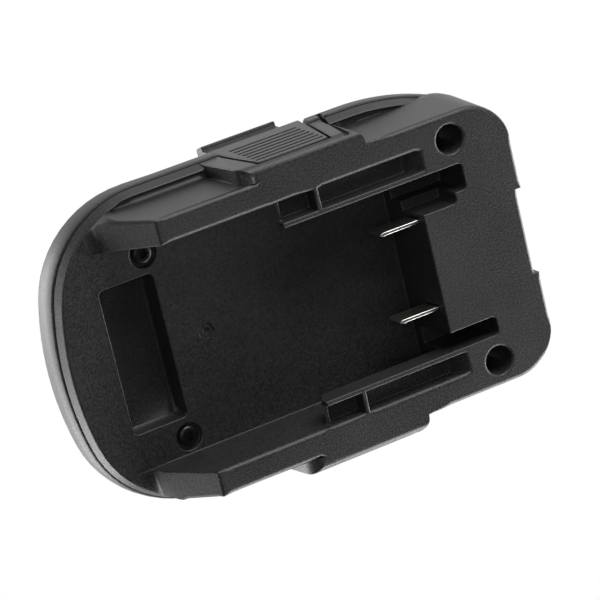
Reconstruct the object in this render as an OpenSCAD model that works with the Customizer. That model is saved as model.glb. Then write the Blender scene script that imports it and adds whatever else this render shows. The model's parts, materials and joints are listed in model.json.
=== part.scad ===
// Battery adapter: a dock below takes a slide-on pack, a stem above goes into the tool's handle.
// Millimetres. +X is the closed end of the dock, +Z the tool side, and z = 0 is the face of the
// two rails. Left is +Y and right is -Y, seen from the open end of the dock.

/* [Case] */
// Length of the lower shell
case_l = 121.5; // [119:0.5:130]
// Width of the lower shell
case_w = 79; // [78:0.5:86]
// Radius of the bowed rear end in plan
rear_arc_r = 80; // [70:1:120]
// Radius of the rear corners in plan
rear_corner_r = 27; // [22:0.5:29]
// Radius of the front corners in plan
front_corner_r = 12; // [9:0.5:14]
// Length over which the long sides bow in towards the front
bow_l = 33.25; // [30:0.25:35]
// Radius of that bow
bow_r = 63; // [60:1:80]
// How far the upper shell overhangs the lower one at the rear
rear_step = 0.8; // [0:0.1:1]
// Wall thickness of both shells
wall = 2.5; // [2.2:0.1:2.8]
// Thickness of the floor between the two shells
floor_t = 2.9; // [2.6:0.1:3.4]
// How far the upper shell stands proud of the lower one
shell_step = 0.5; // [0.2:0.1:0.8]
// Running clearance between pieces
clearance = 0.5; // [0.3:0.1:0.6]
// Assembly clearance between fixed pieces
fit_gap = 0.1; // [0.05:0.01:0.15]

/* [Dock] */
// Depth of the dock, from the rail faces to its floor
dock_depth = 16; // [15:0.5:20]
// Distance between the rails at their faces
dock_w = 58; // [57:0.5:60]
// How much each dock wall leans in towards the floor
dock_draft = 0.9; // [0.3:0.1:1.2]
// Length of the end block at the rail faces
end_block_l = 27.65; // [26.8:0.05:28.8]
// How far the end wall leans into the dock at the floor
end_wall_draft = 1.7; // [0.5:0.1:2.5]
// Width of the ledge beside each rail at the floor
ledge_w = 3.2; // [3:0.1:3.6]
// Depth of the gutter in each ledge
gutter_depth = 0.9; // [0.3:0.1:1.2]
// Distance from the edge of the case to the gutter
gutter_in = 1.3; // [1.1:0.1:1.6]
// How much each rail flank leans in towards its face
flank_draft = 0.8; // [0.2:0.1:1.2]
// Radius of the front corners of the end block
block_corner_r = 11.4; // [9:0.2:12]
// Distance from the rear end of the case to the rail faces
rail_in = 25.95; // [25:0.05:28]
// Length of the ramp at the rear end of a rail
ramp_run = 11.4; // [9:0.1:12]
// Radius of the flare between the ramp and the floor
flare_r = 5.4; // [3:0.1:7]

/* [Rail lips] */
// Distance between the two lips that grip the pack
lip_gap = 45; // [44:0.5:46]
// Height of a lip above the channel it closes
lip_h = 6.5; // [6:0.1:7.5]
// Length of a lip
lip_l = 36.5; // [34:0.1:39]
// How far the rear end of a lip leans back as a lead-in
lip_lead = 1.7; // [1:0.1:1.9]
// Thickness of the thin walls round the coring slot
lip_t = 1.3; // [1:0.1:1.6]
// Depth of the coring slot
core_depth = 4.4; // [3:0.1:4.6]
// Distance from the floor of the coring slot to the end wall
core_end = 0.5; // [0:0.1:3]
// How far the ramp at the front of the coring slot runs into the end block
core_ramp = 3.3; // [1:0.1:4]
// How far the bar at the rear of the coring slot lies below the rail face
core_bar = 2.5; // [1:0.1:3]
// Distance from the cross rib in the coring slot to the end wall
core_rib = 26.1; // [14:0.1:29]

/* [Dock end] */
// Inner side of the left notch
notch_left_y = 17.8; // [16:0.1:19]
// Inner side of the right notch
notch_right_y = 15.8; // [15.2:0.1:19]
// Length of both notches in front of the end wall
notch_l = 13; // [9:0.1:15]
// Depth of both notches
notch_depth = 13; // [10:0.5:14]
// Radius of the front corners of both notches
notch_r = 1; // [0.4:0.1:1.5]
// Inner side of the step beside the right notch
step_y = 13.2; // [13.1:0.1:14.4]
// Length of the step in front of the end wall
step_l = 9.6; // [5:0.1:11]
// Depth of the step
step_depth = 9; // [5:0.5:9.5]
// Width of the recess in the front edge
front_recess_w = 22.3; // [10:0.1:30]
// Depth of the recess in the front edge
front_recess = 1.5; // [0.5:0.1:1.8]
// Height of the recess in the front edge
front_recess_h = 12; // [6:0.5:14]

/* [Pack latch pocket] */
// Distance from the rear end of the case to the pocket in the dock floor
pocket_in = 13.65; // [12.8:0.05:14.6]
// Length of the pocket
pocket_l = 14.4; // [13:0.1:15.5]
// Width of the pocket
pocket_w = 37.2; // [34:0.2:38]
// Depth of the pocket
pocket_depth = 6.4; // [5:0.1:6.6]
// Radius of the corners of the pocket
pocket_r = 1.3; // [0.5:0.1:2]
// Thickness of the pocket's own walls
pocket_t = 1.3; // [1:0.1:1.6]

/* [Tool side] */
// Height of the deck above the parting line
deck_h = 7.6; // [7.2:0.1:10]
// How much the deck rises towards the rear end
heel_h = 3.3; // [2:0.1:4]
// Length over which the deck rises
heel_l = 37.25; // [33:0.25:41]
// Height of the stem above the deck
stem_h = 50.5; // [45:0.5:60]
// Length of the stem along the case
stem_l = 38; // [36:0.5:44]
// Width of the stem
stem_w = 27; // [26:0.5:32]
// Radius of the two front corners of the stem
stem_corner_r = 5; // [4:0.5:7]
// How much the stem narrows on each side up to its shoulder
stem_draft = 0.8; // [0.2:0.1:1.2]
// Wall thickness of the stem
stem_wall = 2.2; // [2:0.1:2.6]
// Width of the collar round the foot of the stem
collar_w = 4; // [2:0.5:6]
// Height of the collar
collar_h = 2; // [1:0.5:4]
// Width of the guide key on the front of the stem
key_w = 6; // [4:0.5:9]
// How far the guide key stands out
key_out = 2; // [1:0.1:3]
// Width of the contact slots at the top of the stem
slot_w = 7; // [6.4:0.1:8]
// Height of the contact slots
slot_h = 18; // [14:0.5:20]

/* [Side latches] */
// Centre of the latches and of the stem along the case
latch_x = 4.7; // [3.5:0.1:5.5]
// Width of a latch button at its lower edge
button_low_w = 18.8; // [17.5:0.1:19.2]
// Width of a latch button at its upper edge
button_high_w = 25.4; // [24.4:0.1:26]
// Height of the lower edge of a button above the rail face
button_z = 2.2; // [2:0.1:2.8]
// Height of a button
button_h = 22.1; // [21.5:0.1:22.5]
// Thickness of a button
button_t = 3; // [2.6:0.1:3.4]
// Gap round a button
button_gap = 0.9; // [0.5:0.1:1.2]
// Number of grooves across a button
groove_n = 7; // [4:1:8]
// Distance between grooves
groove_pitch = 2.42; // [1.8:0.02:2.5]
// Width of a groove
groove_w = 1; // [0.5:0.1:1.3]
// Length of the grooves
groove_l = 18.4; // [14:0.1:18.6]
// Depth of a groove
groove_depth = 0.5; // [0.2:0.1:0.8]
// Thickness of the flange that keeps a button in its window
flange_t = 1.8; // [1.4:0.1:2.2]
// How far the flange reaches past the button on each side
flange_w = 2.2; // [1.5:0.1:2.6]
// Width of a latch hook
hook_w = 20.6; // [16:0.1:20.8]
// How far the hooks lie behind the middle of the buttons
hook_back = 1.5; // [0:0.1:1.6]
// Thickness of a latch hook
hook_t = 2; // [1.6:0.1:2.4]
// Height of a hook above the parting line
hook_h = 14.4; // [11:0.1:18]
// How far the barb of a hook stands out
barb_out = 1.2; // [0.6:0.1:1.2]
// Travel of a latch
latch_travel = 2.2; // [1.5:0.1:2.4]
// Room behind a flange at rest
latch_room = 4.4; // [4:0.1:4.6]
// Radius along the lower edge of a button boss
boss_round = 2.6; // [1:0.1:3]
// Distance from the middle of a button to the rear end of its boss
boss_rear = 16; // [15.2:0.1:16.5]
// How far the rear end of a boss leans back up to the parting line
boss_slope = 2; // [1.5:0.1:3]
// Radius of the lower rear corner of a boss
boss_toe_r = 4.8; // [2:0.1:5.5]
// Distance from the middle of a button to the front end of its boss
boss_front = 18; // [17.8:0.1:20]
// Radius of the front corner of a boss
boss_corner_r = 4; // [2:0.1:5]
// Distance from a button to the narrow slot in front of it
side_slot_at = 4; // [3.8:0.1:4.4]
// Width of the narrow slot
side_slot_w = 1.3; // [0.8:0.1:1.6]
// Depth of the narrow slot
side_slot_depth = 1.2; // [0.6:0.1:1.4]
// Outside diameter of a latch spring
spring_d = 6; // [5:0.1:7]
// Diameter of the spring wire
spring_wire = 0.5; // [0.4:0.05:0.55]
// Turns of a latch spring
spring_turns = 3; // [2:0.5:3.5]

/* [Terminals] */
// Distance between the two blades
blade_gap = 22.8; // [20:0.1:22.8]
// Thickness of a blade
blade_t = 1; // [0.8:0.1:1.1]
// Height of a blade
blade_h = 6; // [5:0.1:6.3]
// How far a blade reaches into the dock
blade_reach = 11.3; // [8:0.1:14]
// Width of the stem contacts
contact_w = 6; // [5:0.1:6]
// Thickness of the stem contacts
contact_t = 0.8; // [0.6:0.1:0.8]
// Diameter of the inner leads
lead_d = 2.6; // [2:0.1:2.8]

/* [Fasteners] */
// Distance from the front end of the case to the front case screws
front_screw_in = 16.15; // [15:0.05:16.7]
// Distance between the front case screws
front_screw_gap = 58.2; // [57.5:0.1:59]
// Diameter of the front counterbores
counterbore_d = 7.2; // [6.8:0.1:7.6]
// Depth of the front counterbores
counterbore_depth = 12; // [9:0.5:12.5]
// Distance from the rear end of the case to the rear case screws
rear_screw_in = 27.05; // [25.8:0.05:27.8]
// Distance between the rear case screws
rear_screw_gap = 47.6; // [47:0.1:48.4]
// Diameter of the rear screw recesses
recess_d = 6.8; // [6.2:0.1:7]
// Shank diameter of the case screws
case_screw_d = 2.6; // [2.4:0.1:3]
// Head diameter of the case screws
case_head_d = 5; // [4.6:0.1:5.6]
// Shank diameter of the small inner screws
small_screw_d = 1.6; // [1.4:0.1:1.8]
// Diameter of the posts that take the small screws
small_post_d = 5; // [4.4:0.1:5.4]

/* [Hidden] */
$fn = 64;
far = 200;
eps = 0.01;
arc_steps = 12;

// Levels above the rail faces
z_floor = dock_depth;
z_part = z_floor + floor_t;
z_deck = z_part + deck_h;
z_ceiling = z_deck - wall;
z_stem = z_deck + stem_h;
z_stem_roof = z_stem - stem_wall;

// Plan outline of the case
half_l = case_l / 2;
half_w = case_w / 2;
rear_arc_x = rear_arc_r - half_l;
rear_corner_y = half_w - rear_corner_r;
rear_corner_a = asin(rear_corner_y / (rear_arc_r - rear_corner_r));
rear_corner_x = rear_arc_x - (rear_arc_r - rear_corner_r) * cos(rear_corner_a);
bow_centre = [half_l - bow_l, half_w - bow_r];
bow_a = acos((bow_l - front_corner_r) / (bow_r - front_corner_r));
front_corner = bow_centre + (bow_r - front_corner_r) * [cos(bow_a), sin(bow_a)];

// Rounding of the shells, as [height, inset, extra inset at the rear]
rim_chamfer = 1.3;
part_line = 0.3;
rim_levels = [
    [z_floor, rim_chamfer, rear_step],
    [z_floor + 0.3, 0.75 * rim_chamfer, rear_step],
    [z_part - part_line, 0, rear_step],
    [z_part, part_line, rear_step],
];
wall_levels = [
    [z_part, part_line - shell_step, rear_step],
    [z_part + part_line, -shell_step, 0.9 * rear_step],
    [z_part + 2, -shell_step, 0.3 * rear_step],
    [z_part + 3.4, -shell_step, 0],
];
deck_levels = [
    [z_deck - 3.8, 0.1 - shell_step, 0],
    [z_deck - 2.7, 0.7 - shell_step, 0],
    [z_deck - 1.3, 2.1 - shell_step, 0],
    [z_deck - 0.4, 4.1 - shell_step, 0],
    [z_deck, 6.5 - shell_step, 0],
];
stem_levels = [
    [z_ceiling, 0],
    [z_stem - 3, stem_draft],
    [z_stem - 1, stem_draft + 0.5],
    [z_stem - 0.3, stem_draft + 1.1],
    [z_stem, stem_draft + 2],
];

// Places along the case
end_wall_x = half_l - end_block_l;
notch_front_x = end_wall_x + notch_l;
step_front_x = end_wall_x + step_l;
lip_rear_x = end_wall_x - lip_l;
core_front_x = end_wall_x - core_end;
core_rib_x = end_wall_x - core_rib;
rail_rear_x = rail_in - half_l;
pocket_rear_x = pocket_in - half_l;
pocket_front_x = pocket_rear_x + pocket_l;
heel_x = heel_l - half_l - shell_step;
heel_rise = heel_h / heel_l;
boss_rear_x = latch_x - boss_rear;
boss_front_x = latch_x + boss_front;
front_screw_x = half_l - front_screw_in;
rear_screw_x = rear_screw_in - half_l;

// Screws and their holes
shank_bore = case_screw_d + 0.8;
pilot_bore = case_screw_d + 2 * fit_gap;
small_bore = small_screw_d + 0.6;
small_pilot = small_screw_d + 2 * fit_gap;
small_head_d = small_screw_d + 2;
small_head_h = 1.4;
small_drive = 1.2;
case_drive = 2.4;
recess_depth = 1.5;
case_post_d = 7;

// Mark left by the moulding gate in the dock floor
gate_x = rear_screw_x + 11;
gate_d = 3.9;
gate_depth = 0.35;
gate_pip_d = 1.6;
gate_pip_depth = 0.8;

// Rails and end block, with levels as [height, inset of the flanks, inset of the front]
flank_y = half_w - ledge_w;
block_levels = [
    [0, flank_draft, 0.1],
    [z_floor, 0, 0],
    [z_part - part_line, 0, 0.2],
];
ramp_a = atan2(dock_depth, ramp_run);
toe_x = rail_rear_x - ramp_run;
flare_l = flare_r * tan(ramp_a / 2);
lip_y = lip_gap / 2;
gutter_run = 9.6;
gutter_rear_x = rail_rear_x - gutter_run;
gutter_r = 11;
dock_y = dock_w / 2;

// Latches
button_y = half_w + 0.15;
button_back_y = button_y - button_t;
groove_z = button_z + 1.6;
window_y = half_w - 2;
flange_y = window_y - 0.3;
flange_back_y = flange_y - flange_t;
chamber_y = flange_back_y - latch_room;
chamber_floor = button_z - clearance;
button_top = button_z + button_h;
button_lean = (button_high_w - button_low_w) / 2 / button_h;
hook_y = half_w - 0.8;
hook_back_y = hook_y - hook_t;
hook_top = z_part + hook_h;
hook_x = latch_x - hook_back;
spring_z = button_z + 8.3;
peg_d = spring_d - 2 * spring_wire - 2 * fit_gap - 0.6;
peg_l = 1.2;

// Terminal bay in the dock's end block
bay_floor = wall;
bay_rear_x = end_wall_x + wall + 0.4;
bay_front_x = half_l - wall - front_recess;
bay_y = blade_gap / 2 + blade_t / 2 + 0.3;
blade_y = blade_gap / 2;
blade_z = bay_floor + fit_gap;
blade_tip_x = end_wall_x - blade_reach;
holder_l = 6.8;
holder_x = bay_rear_x + fit_gap + holder_l / 2;
holder_front_x = bay_rear_x + fit_gap + holder_l;
holder_top = 12;
holder_post_y = 5;
holder_post_top = 8.6;
tag_y = 8.5;
tag_h = 3;
tag_z = blade_z + blade_h / 2;
tag_x = holder_front_x + 6.8;

// Contacts in the stem
stem_hollow = stem_wall + stem_draft;
carrier_gap = 3.1;
carrier_y = stem_w / 2 - stem_hollow - carrier_gap;
carrier_t = 3;
carrier_drop = 14.8;
contact_tail = 9;
carrier_z = z_stem_roof - carrier_drop;
carrier_post_x = 10.5;
upstand_t = 1.9;
upstand_top = z_stem_roof - 1;
contact_y = carrier_y + fit_gap;
contact_top = upstand_top + fit_gap + contact_t;
contact_tag_z = carrier_z - contact_tail;
sleeve_bore = lead_d + 0.8;
sleeve_d = sleeve_bore + 0.8;
sleeve_l = 6;
sleeve_lap = 3.3;
lead_bend = 3.4;
lead_mid_y = 7;
lead_y = contact_y + contact_t / 2;

// Routes of the leads, left side, from the blade tag to the contact tag
lead_z = z_part + lead_d / 2 + 0.9;
lead_route = [
    [tag_x + 2 * fit_gap, tag_y, tag_z],
    [tag_x + lead_bend, tag_y, tag_z],
    [tag_x + lead_bend + 1, tag_y - 0.5, tag_z + lead_bend],
    [tag_x + lead_bend, tag_y - 1, z_part - 5],
    [tag_x - 1, lead_mid_y, lead_z - 1.5],
    [tag_x - 3 * lead_bend, lead_mid_y, lead_z],
    [latch_x + 7 * lead_bend, lead_mid_y - 0.5, lead_z],
    [latch_x + 4 * lead_bend, lead_mid_y - 1, lead_z],
    [latch_x + 2 * lead_bend, lead_mid_y - 1, lead_z + lead_bend],
    [latch_x + lead_bend, lead_y - 1, lead_z + 3.5 * lead_bend],
    [latch_x, lead_y, contact_tag_z - sleeve_l],
    [latch_x, lead_y, contact_tag_z - 2 * fit_gap],
];

// Points along an arc in plan
function arc(centre, r, from, to, steps) =
    [for (k = [0:steps]) let (a = from + (to - from) * k / steps) centre + r * [cos(a), sin(a)]];

function flip_y(p) = [p.x, -p.y];

// Rear end of the case in plan, drawn in by an inset and a little more at the rear
function rear_outline(inset, rear_in) = let (
    corner = [rear_corner_x + rear_in, rear_corner_y],
    centre = [rear_arc_x + rear_in, 0],
    r = rear_corner_r - inset,
    rear = arc(centre, rear_arc_r - inset, 180 - rear_corner_a, 180 + rear_corner_a, arc_steps)
) concat(
    arc(corner, r, 90, 180 - rear_corner_a, arc_steps),
    [for (k = [1:arc_steps - 1]) rear[k]],
    arc(flip_y(corner), r, 180 + rear_corner_a, 270, arc_steps)
);

// Outline of the whole case in plan, counter-clockwise
function case_outline(inset, rear_in) = let (
    bow = arc(bow_centre, bow_r - inset, bow_a, 90, arc_steps),
    r = front_corner_r - inset
) concat(
    arc(front_corner, r, 0, bow_a, arc_steps),
    [for (k = [1:arc_steps]) bow[k]],
    rear_outline(inset, rear_in),
    [for (k = [arc_steps:-1:1]) flip_y(bow[k])],
    arc(flip_y(front_corner), r, 360 - bow_a, 360, arc_steps)
);

// Ring of the heel, which tilts up towards the rear from a line across the deck
function heel_ring(level, rise) = let (side = half_w - level[1], front = heel_x + 2)
    [for (p = concat([[front, side]], rear_outline(level[1], level[2]), [[front, -side]]))
        [p.x, p.y, level[0] + rise * (heel_x - p.x)]];

// Outline of the rails and end block in plan, from the rear of the case to the rounded front corners
function block_outline(side_in, front_in) = let (
    r = block_corner_r,
    corner = [half_l - front_in - r, flank_y - side_in - r]
) concat(
    arc(corner, r, 0, 90, arc_steps),
    [[-half_l, corner.y + r], [-half_l, -corner.y - r]],
    arc(flip_y(corner), r, 270, 360, arc_steps)
);

// Rectangle in plan with four round corners
function round_rect(low, high, r) = concat(
    arc([high.x - r, high.y - r], r, 0, 90, 6),
    arc([low.x + r, high.y - r], r, 90, 180, 6),
    arc([low.x + r, low.y + r], r, 180, 270, 6),
    arc([high.x - r, low.y + r], r, 270, 360, 6)
);

// Outline of the stem in plan: square front corners, one round rear end
function stem_outline(inset) = let (
    half = stem_w / 2,
    corner = [latch_x + stem_l / 2 - stem_corner_r, half - stem_corner_r],
    r = stem_corner_r - inset
) concat(
    arc(corner, r, 0, 90, 8),
    arc([latch_x - stem_l / 2 + half, 0], half - inset, 90, 270, 3 * arc_steps),
    arc(flip_y(corner), r, 270, 360, 8)
);

function at_height(outline, z) = [for (p = outline) [p.x, p.y, z]];

function unit(v) = v / norm(v);

// Smooth curve through a few route points
function curve(p, steps) = [
    for (i = [0:len(p) - 2], k = [0:steps - 1])
        let (
            a = p[max(i - 1, 0)], b = p[i], c = p[i + 1], d = p[min(i + 2, len(p) - 1)],
            t = k / steps
        )
        0.5 * (2 * b + (c - a) * t + (2 * a - 5 * b + 4 * c - d) * t * t
            + (3 * b - a - 3 * c + d) * t * t * t),
    p[len(p) - 1],
];

// Solid through a stack of rings with equal numbers of points, from the lowest up
module loft(rings) {
    n = len(rings[0]);
    last = len(rings) - 1;
    polyhedron(
        points = [for (ring = rings, p = ring) p],
        faces = concat(
            [[for (j = [0:n - 1]) j]],
            [[for (j = [n - 1:-1:0]) last * n + j]],
            [for (k = [0:last - 1], j = [0:n - 1]) let (m = (j + 1) % n)
                let (low = k * n, high = low + n)
                each [[low + j, high + j, high + m], [low + j, high + m, low + m]]]
        )
    );
}

module case_loft(levels) {
    loft([for (l = levels) at_height(case_outline(l[1], l[2]), l[0])]);
}

// Round tube swept along points
module tube_along(points, d, sides) {
    count = len(points);
    tangents = [for (i = [0:count - 1]) unit(points[min(i + 1, count - 1)] - points[max(i - 1, 0)])];
    seed = abs(tangents[0].z) < 0.9 ? [0, 0, 1] : [1, 0, 0];
    normals = [
        for (i = 0, n = seed - (seed * tangents[0]) * tangents[0]; i < count;
            i = i + 1, n = i < count ? n - (n * tangents[i]) * tangents[i] : n) unit(n)
    ];
    loft([
        for (i = [0:count - 1])
            [for (s = [0:sides - 1]) let (a = -360 * s / sides)
                points[i] + d / 2 * (cos(a) * normals[i] + sin(a) * cross(normals[i], tangents[i]))]
    ]);
}

// Profile drawn in x and z, made solid from one y to another
module across(y0, y1) {
    translate([0, y1, 0]) rotate([90, 0, 0]) linear_extrude(y1 - y0) children();
}

// Profile drawn in y and z, made solid from one x to another
module along(x0, x1) {
    translate([x0, 0, 0]) rotate([90, 0, 90]) linear_extrude(x1 - x0) children();
}

module span(low, high) {
    translate(low) cube(high - low);
}

module both_sides() {
    children();
    mirror([0, 1, 0]) children();
}

module post(x, y, z0, z1, d) {
    translate([x, y, z0]) cylinder(d = d, h = z1 - z0);
}

// Face of a latch button, wider by grow on each side, between two heights
module button_face(grow, z0, z1) {
    low = button_low_w / 2 + grow + (z0 - button_z) * button_lean;
    high = button_low_w / 2 + grow + (z1 - button_z) * button_lean;
    polygon([
        [latch_x - low, z0], [latch_x + low, z0], [latch_x + high, z1], [latch_x - high, z1],
    ]);
}

// Opening round a button and its hook, on the left side
module button_window(z0, z1, y0) {
    across(y0, half_w + 5) button_face(button_gap, z0, z1);
}

// Narrow slot in front of a button, on the left side
module side_slot() {
    z0 = button_z - 1.4;
    z1 = z_part + 3;
    x0 = latch_x + button_low_w / 2 + side_slot_at + (z0 - button_z) * button_lean;
    x1 = x0 + (z1 - z0) * button_lean;
    across(half_w - side_slot_depth, half_w + 5)
        polygon([[x0, z0], [x0 + side_slot_w, z0], [x1 + side_slot_w, z1], [x1, z1]]);
}

// Rails and end block, before the dock is cut
module rail_block() {
    intersection() {
        loft([for (l = block_levels) at_height(block_outline(l[1], l[2]), l[0])]);
        linear_extrude(far) union() {
            polygon(case_outline(rim_chamfer, rear_step));
            translate([0, -far]) square([far, 2 * far]);
        }
        across(-far, far) polygon(concat(
            [[far, 0], [far, z_part], [toe_x - flare_l - 2, z_part], [toe_x - flare_l - 2, z_floor]],
            arc([toe_x - flare_l, z_floor - flare_r], flare_r, 90, 90 - ramp_a, 8),
            [[rail_rear_x, 0]]
        ));
    }
}

// Space the pack slides into, open below and at the rear
module dock_space() {
    x0 = -far;
    floor_x = end_wall_x - end_wall_draft;
    floor_y = dock_y - dock_draft;
    lean = (floor_x - end_wall_x) / dock_depth;
    spread = dock_draft / dock_depth;
    loft([
        for (z = [-1, z_floor]) let (x1 = end_wall_x + lean * z, y1 = dock_y - spread * z)
            [[x0, -y1, z], [x1, -y1, z], [x1, y1, z], [x0, y1, z]]
    ]);
}

// Shallow gutter in the ledge beside a rail, on the left side
module gutter() {
    translate([0, 0, z_floor - 1]) linear_extrude(1 + gutter_depth) intersection() {
        polygon(case_outline(gutter_in, 0));
        polygon(round_rect([gutter_rear_x, 0], [far, half_w - gutter_in], gutter_r));
    }
}

// Lip that grips the pack, on the left side
module rail_lip() {
    across(lip_y, dock_y + 0.5) polygon([
        [lip_rear_x, 0], [end_wall_x + 1, 0], [end_wall_x + 1, lip_h],
        [lip_rear_x + lip_lead, lip_h], [lip_rear_x, core_bar],
    ]);
}

// Coring slot in a lip, in two lengths either side of a cross rib, on the left side
module lip_core() {
    rear = lip_rear_x + lip_t;
    across(lip_y + lip_t, dock_y) {
        polygon([
            [lip_rear_x - 1, -1], [rear + eps, -1], [rear + eps, core_bar], [lip_rear_x - 1, core_bar],
        ]);
        polygon([
            [rear, -1], [core_rib_x - lip_t / 2, -1], [core_rib_x - lip_t / 2, core_depth], [rear, core_depth],
        ]);
        polygon([
            [core_rib_x + lip_t / 2, -1], [end_wall_x + core_ramp, -1], [end_wall_x + core_ramp, 0],
            [core_front_x, core_depth], [core_rib_x + lip_t / 2, core_depth],
        ]);
    }
}

// Button boss on the left side, with a rear end that leans back from a round toe
module button_boss() {
    top = z_part - part_line;
    inner = flank_y - 3;
    intersection() {
        across(0, far) polygon(concat(
            [[far, 0], [far, top], [boss_rear_x - boss_slope, top]],
            arc([boss_rear_x + boss_toe_r, boss_toe_r], boss_toe_r, 180, 270, 8)
        ));
        along(-far, far) polygon(concat(
            [[inner, top], [inner, 0]],
            arc([half_w - boss_round, boss_round], boss_round, -90, 0, 8),
            [[half_w, top]]
        ));
        linear_extrude(far) polygon(concat(
            [[-far, inner], [boss_front_x, inner]],
            arc([boss_front_x - boss_corner_r, half_w - boss_corner_r], boss_corner_r, 0, 90, 8),
            [[-far, half_w]]
        ));
    }
}

// Room for a latch behind its window, on the left side
module latch_chamber() {
    across(chamber_y, window_y) button_face(flange_w + button_gap, chamber_floor, z_part + 1);
}

module notch(y0, y1, front_x, depth) {
    rear = end_wall_x - end_wall_draft - 2;
    translate([0, 0, -1]) linear_extrude(1 + depth)
        polygon(round_rect([rear, y0], [front_x, y1], notch_r));
}

module end_notches() {
    notch(notch_left_y, lip_y, notch_front_x, notch_depth);
    notch(-lip_y, -notch_right_y, notch_front_x, notch_depth);
    notch(-lip_y, -step_y, step_front_x, step_depth);
}

// Lower shell: floor, rails with their lips, end block and button bosses
module battery_side_shell() {
    color("dimgray") difference() {
        union() {
            difference() {
                case_loft(rim_levels);
                both_sides() gutter();
            }
            difference() {
                rail_block();
                dock_space();
                end_notches();
            }
            both_sides() rail_lip();
            both_sides() button_boss();
            translate([0, 0, z_floor + 1]) linear_extrude(pocket_depth + pocket_t - 1) polygon(round_rect(
                [pocket_rear_x - pocket_t, -pocket_w / 2 - pocket_t],
                [pocket_front_x + pocket_t, pocket_w / 2 + pocket_t], pocket_r + pocket_t
            ));
        }
        translate([0, 0, z_floor - 1]) linear_extrude(pocket_depth + 1) polygon(round_rect(
            [pocket_rear_x, -pocket_w / 2], [pocket_front_x, pocket_w / 2], pocket_r
        ));
        both_sides() {
            lip_core();
            button_window(button_z - clearance, z_part + 1, window_y - eps);
            latch_chamber();
            side_slot();
            post(front_screw_x, front_screw_gap / 2, -1, counterbore_depth, counterbore_d);
            post(front_screw_x, front_screw_gap / 2, 0, z_part + 1, shank_bore);
            post(rear_screw_x, rear_screw_gap / 2, z_floor - 1, z_floor + recess_depth, recess_d);
            post(rear_screw_x, rear_screw_gap / 2, z_floor, z_part + 1, shank_bore);
            span(
                [blade_tip_x, blade_y - blade_t / 2 - 0.2, blade_z - fit_gap],
                [bay_rear_x + 1, blade_y + blade_t / 2 + 0.2, blade_z + blade_h + 0.2]
            );
        }
        terminal_bay();
        span(
            [half_l - front_recess, -front_recess_w / 2, -1],
            [half_l + 1, front_recess_w / 2, front_recess_h]
        );
        post(gate_x, 0, z_floor - 1, z_floor + gate_depth, gate_d);
        post(gate_x, 0, z_floor - 1, z_floor + gate_pip_depth, gate_pip_d);
    }
}

// Hollow end block with the posts for the blade holder
module terminal_bay() {
    difference() {
        span([bay_rear_x, -bay_y, bay_floor], [bay_front_x, bay_y, z_part + 1]);
        both_sides() difference() {
            post(holder_x, holder_post_y, bay_floor - 1, holder_post_top, small_post_d);
            post(holder_x, holder_post_y, bay_floor + 0.6, far, small_pilot);
        }
    }
}

// Upper shell: deck that rises to a heel, and the stem that goes into the tool
module tool_side_shell() {
    color("gray") difference() {
        union() {
            difference() {
                union() {
                    case_loft(concat(wall_levels, deck_levels));
                    loft(concat(
                        [for (l = wall_levels) heel_ring(l, 0)],
                        [for (l = deck_levels) heel_ring(l, heel_rise)]
                    ));
                }
                translate([0, 0, z_part - 1]) linear_extrude(z_ceiling - z_part + 1)
                    polygon(case_outline(wall, rear_step));
            }
            loft([for (l = stem_levels) at_height(stem_outline(l[1]), l[0])]);
            translate([0, 0, z_ceiling]) linear_extrude(wall + collar_h) polygon(stem_outline(-collar_w));
            span(
                [latch_x + stem_l / 2 - stem_corner_r, -key_w / 2, z_ceiling],
                [latch_x + stem_l / 2 + key_out, key_w / 2, z_stem - slot_h]
            );
            both_sides() {
                post(front_screw_x, front_screw_gap / 2, z_part, z_deck - 1, case_post_d);
                post(rear_screw_x, rear_screw_gap / 2, z_part, z_deck - 1, case_post_d);
            }
        }
        difference() {
            translate([0, 0, z_part]) linear_extrude(z_stem_roof - z_part)
                polygon(stem_outline(stem_hollow));
            for (side = [-1, 1]) let (x = latch_x + side * carrier_post_x)
                post(x, 0, carrier_z + carrier_t + fit_gap, far, small_post_d);
        }
        for (side = [-1, 1])
            post(latch_x + side * carrier_post_x, 0, 0, z_stem_roof - 2, small_pilot);
        both_sides() {
            button_window(z_part - 1, z_stem, hook_back_y - latch_travel - clearance);
            side_slot();
            post(front_screw_x, front_screw_gap / 2, 0, z_ceiling + 1, pilot_bore);
            post(rear_screw_x, rear_screw_gap / 2, 0, z_ceiling + 1, pilot_bore);
            span(
                [latch_x - slot_w / 2, contact_y - fit_gap, z_stem - slot_h],
                [latch_x + slot_w / 2, far, far]
            );
        }
    }
}

// Sprung latch on the left side: ribbed button, flange and hook
module latch() {
    barb_z = hook_top - 3.4;
    color("#303032") difference() {
        union() {
            across(button_back_y, button_y) button_face(0, button_z, button_top);
            across(flange_back_y, flange_y) button_face(flange_w, button_z + clearance, z_part - clearance);
            along(hook_x - hook_w / 2, hook_x + hook_w / 2) polygon([
                [hook_back_y, z_part - 2], [hook_y, z_part - 2], [hook_y, barb_z - 0.4],
                [hook_y + barb_out, barb_z], [hook_y, hook_top], [hook_back_y, hook_top],
            ]);
            translate([latch_x, flange_back_y + eps, spring_z]) rotate([90, 0, 0])
                cylinder(d = peg_d, h = peg_l);
        }
        for (k = [0:groove_n - 1]) let (z = groove_z + k * groove_pitch) span(
            [latch_x - groove_l / 2, button_y - groove_depth, z],
            [latch_x + groove_l / 2, far, z + groove_w]
        );
    }
}

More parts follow.
